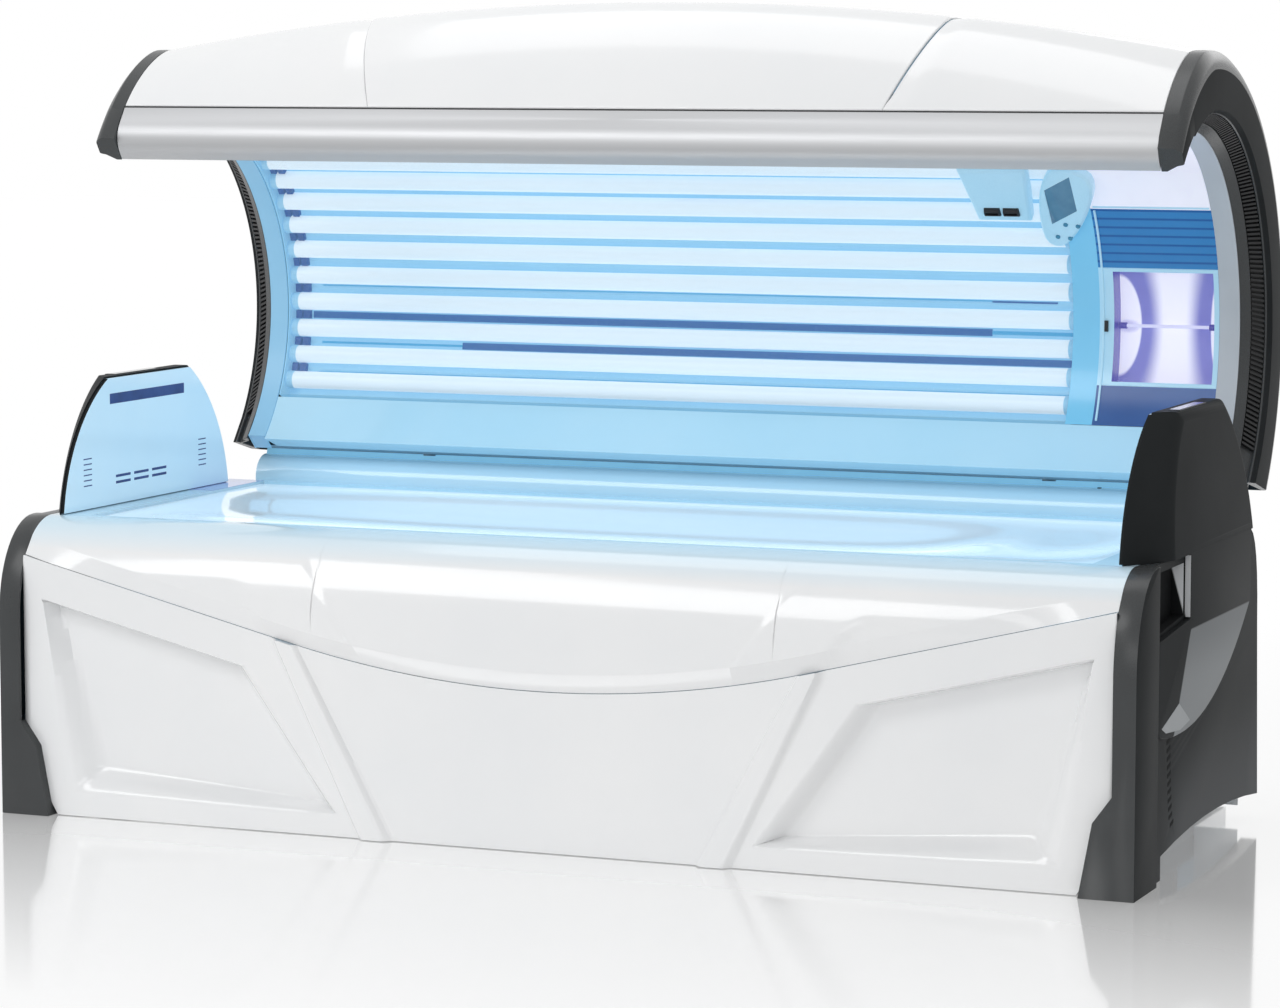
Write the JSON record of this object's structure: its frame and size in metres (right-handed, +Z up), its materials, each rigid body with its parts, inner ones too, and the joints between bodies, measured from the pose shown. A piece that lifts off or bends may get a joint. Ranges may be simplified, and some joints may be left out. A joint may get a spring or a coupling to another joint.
{
  "type": "clamshell tanning bed",
  "caption": "Clamshell tanning bed: a dished clear bench between end towers under a hinged curved lamp canopy with a bright front bar, face tanner, control pod and air outlet.",
  "frame": {"origin": "on the floor, under the middle of the bed's overall box", "axes": "+X along the bed to the head end at the right, +Y from the front to the back, +Z up"},
  "size_m": [2.35, 1.175, 1.62],
  "materials": {
    "white_gloss": "smooth white gloss",
    "white_sheet": "white powder coat",
    "charcoal_gloss": "charcoal gloss",
    "black_plastic": "black satin",
    "black_steel": "black paint",
    "pale_rim": "pale grey satin",
    "brushed_bar": "brushed along its length",
    "steel_frame": "grey paint",
    "zinc_steel": "zinc plated",
    "clear_acrylic": "clear acrylic",
    "lamp_tubes": "lit white-blue tubes",
    "lit_liner": "pale blue gloss, lit",
    "blue_trim": "light blue gloss",
    "pod_shell": "light blue satin",
    "reflector_sheet": "polished reflector",
    "violet_glass": "violet filter glass",
    "slate_screen": "slate-blue screen",
    "key_cap": "blue rubberised key"
  },
  "bodies": {
    "base": {"base_frame": "steel_frame", "bench_trestle_left": "steel_frame", "bench_trestle_right": "steel_frame", "hinge_post_left": "steel_frame", "hinge_post_right": "steel_frame", "foot_front_left": "black_plastic", "foot_front_right": "black_plastic", "foot_rear_left": "black_plastic", "foot_rear_right": "black_plastic", "service_panel": "white_gloss", "bench_surround": "white_gloss", "hinge_cover": "white_gloss", "rear_panel": "white_sheet", "end_cap_left": "charcoal_gloss", "end_cap_right": "charcoal_gloss", "tower_shell_left": "charcoal_gloss", "tower_shell_right": "charcoal_gloss", "tower_liner_left": "lit_liner", "tower_liner_right": "lit_liner", "bench_lamp_bank": "lamp_tubes", "ballast_tray": "zinc_steel", "fan_housing": "black_plastic", "cable_gland": "black_plastic", "hinge_pin_left": "zinc_steel", "hinge_pin_right": "zinc_steel", "spring_cylinder_left": "black_steel", "spring_cylinder_right": "black_steel"},
    "canopy": {"canopy_frame": "steel_frame", "cover_left": "white_gloss", "cover_centre": "white_gloss", "cover_right": "white_gloss", "handle_bar": "brushed_bar", "canopy_end_left": "charcoal_gloss", "canopy_end_right": "charcoal_gloss", "vent_grille_left": "black_plastic", "vent_grille_right": "black_plastic", "end_rim_left": "pale_rim", "end_rim_right": "pale_rim", "canopy_acrylic": "clear_acrylic", "canopy_reflector": "reflector_sheet", "canopy_lamp_bank": "lamp_tubes", "lower_trim": "blue_trim", "face_housing": "blue_trim", "face_glass": "violet_glass", "face_lamp": "lamp_tubes", "control_pod": "pod_shell", "display": "slate_screen", "nozzle_housing": "pod_shell"},
    "bench_acrylic": {"bench_acrylic": "clear_acrylic"},
    "fan_rotor": {"fan_rotor": "black_plastic"},
    "spring_rod_left": {"spring_rod_left": "zinc_steel"},
    "spring_rod_right": {"spring_rod_right": "zinc_steel"},
    "key_1": {"key_1": "key_cap"},
    "key_2": {"key_2": "key_cap"},
    "key_3": {"key_3": "key_cap"},
    "key_4": {"key_4": "key_cap"},
    "nozzle_left": {"nozzle_left": "black_plastic"},
    "nozzle_right": {"nozzle_right": "black_plastic"}
  },
  "joints": [
    {"name": "canopy_hinge", "type": "hinge", "parent": "base", "child": "canopy", "pos_m": [0, 0.4125, 0.592], "axis": [1, 0, 0], "range_deg": [0, 42]},
    {"name": "spring_left_slide", "type": "slide", "parent": "base", "child": "spring_rod_left", "axis": [0, 0, 1], "range_m": [0, 0.0861]},
    {"name": "spring_right_slide", "type": "slide", "parent": "base", "child": "spring_rod_right", "axis": [0, 0, 1], "range_m": [0, 0.0861]},
    {"name": "acrylic_lift", "type": "hinge", "parent": "base", "child": "bench_acrylic", "pos_m": [0, 0.2925, 0.581], "axis": [-1, 0, 0], "range_deg": [0, 20]},
    {"name": "fan_spin", "type": "hinge", "parent": "base", "child": "fan_rotor", "pos_m": [-0.3, -0.0675, 0.13], "axis": [0, 0, 1], "continuous": true},
    {"name": "nozzle_left_tilt", "type": "hinge", "parent": "canopy", "child": "nozzle_left", "pos_m": [0.605, 0.32751, 1.20277], "axis": [1, 0, 0], "range_deg": [-25, 25]},
    {"name": "nozzle_right_tilt", "type": "hinge", "parent": "canopy", "child": "nozzle_right", "pos_m": [0.645, 0.32751, 1.20277], "axis": [1, 0, 0], "range_deg": [-25, 25]},
    {"name": "key_1_press", "type": "slide", "parent": "canopy", "child": "key_1", "axis": [0, 0.766, 0.6428], "range_m": [0, 0.0015], "stiffness_N_per_m": 400},
    {"name": "key_2_press", "type": "slide", "parent": "canopy", "child": "key_2", "axis": [0, 0.766, 0.6428], "range_m": [0, 0.0015], "stiffness_N_per_m": 400},
    {"name": "key_3_press", "type": "slide", "parent": "canopy", "child": "key_3", "axis": [0, 0.766, 0.6428], "range_m": [0, 0.0015], "stiffness_N_per_m": 400},
    {"name": "key_4_press", "type": "slide", "parent": "canopy", "child": "key_4", "axis": [0, 0.766, 0.6428], "range_m": [0, 0.0015], "stiffness_N_per_m": 400}
  ],
  "couplings": [
    {"joint": "spring_left_slide", "follows": "canopy_hinge", "m_per_rad": 0.1173},
    {"joint": "spring_right_slide", "follows": "canopy_hinge", "m_per_rad": 0.1173}
  ]
}
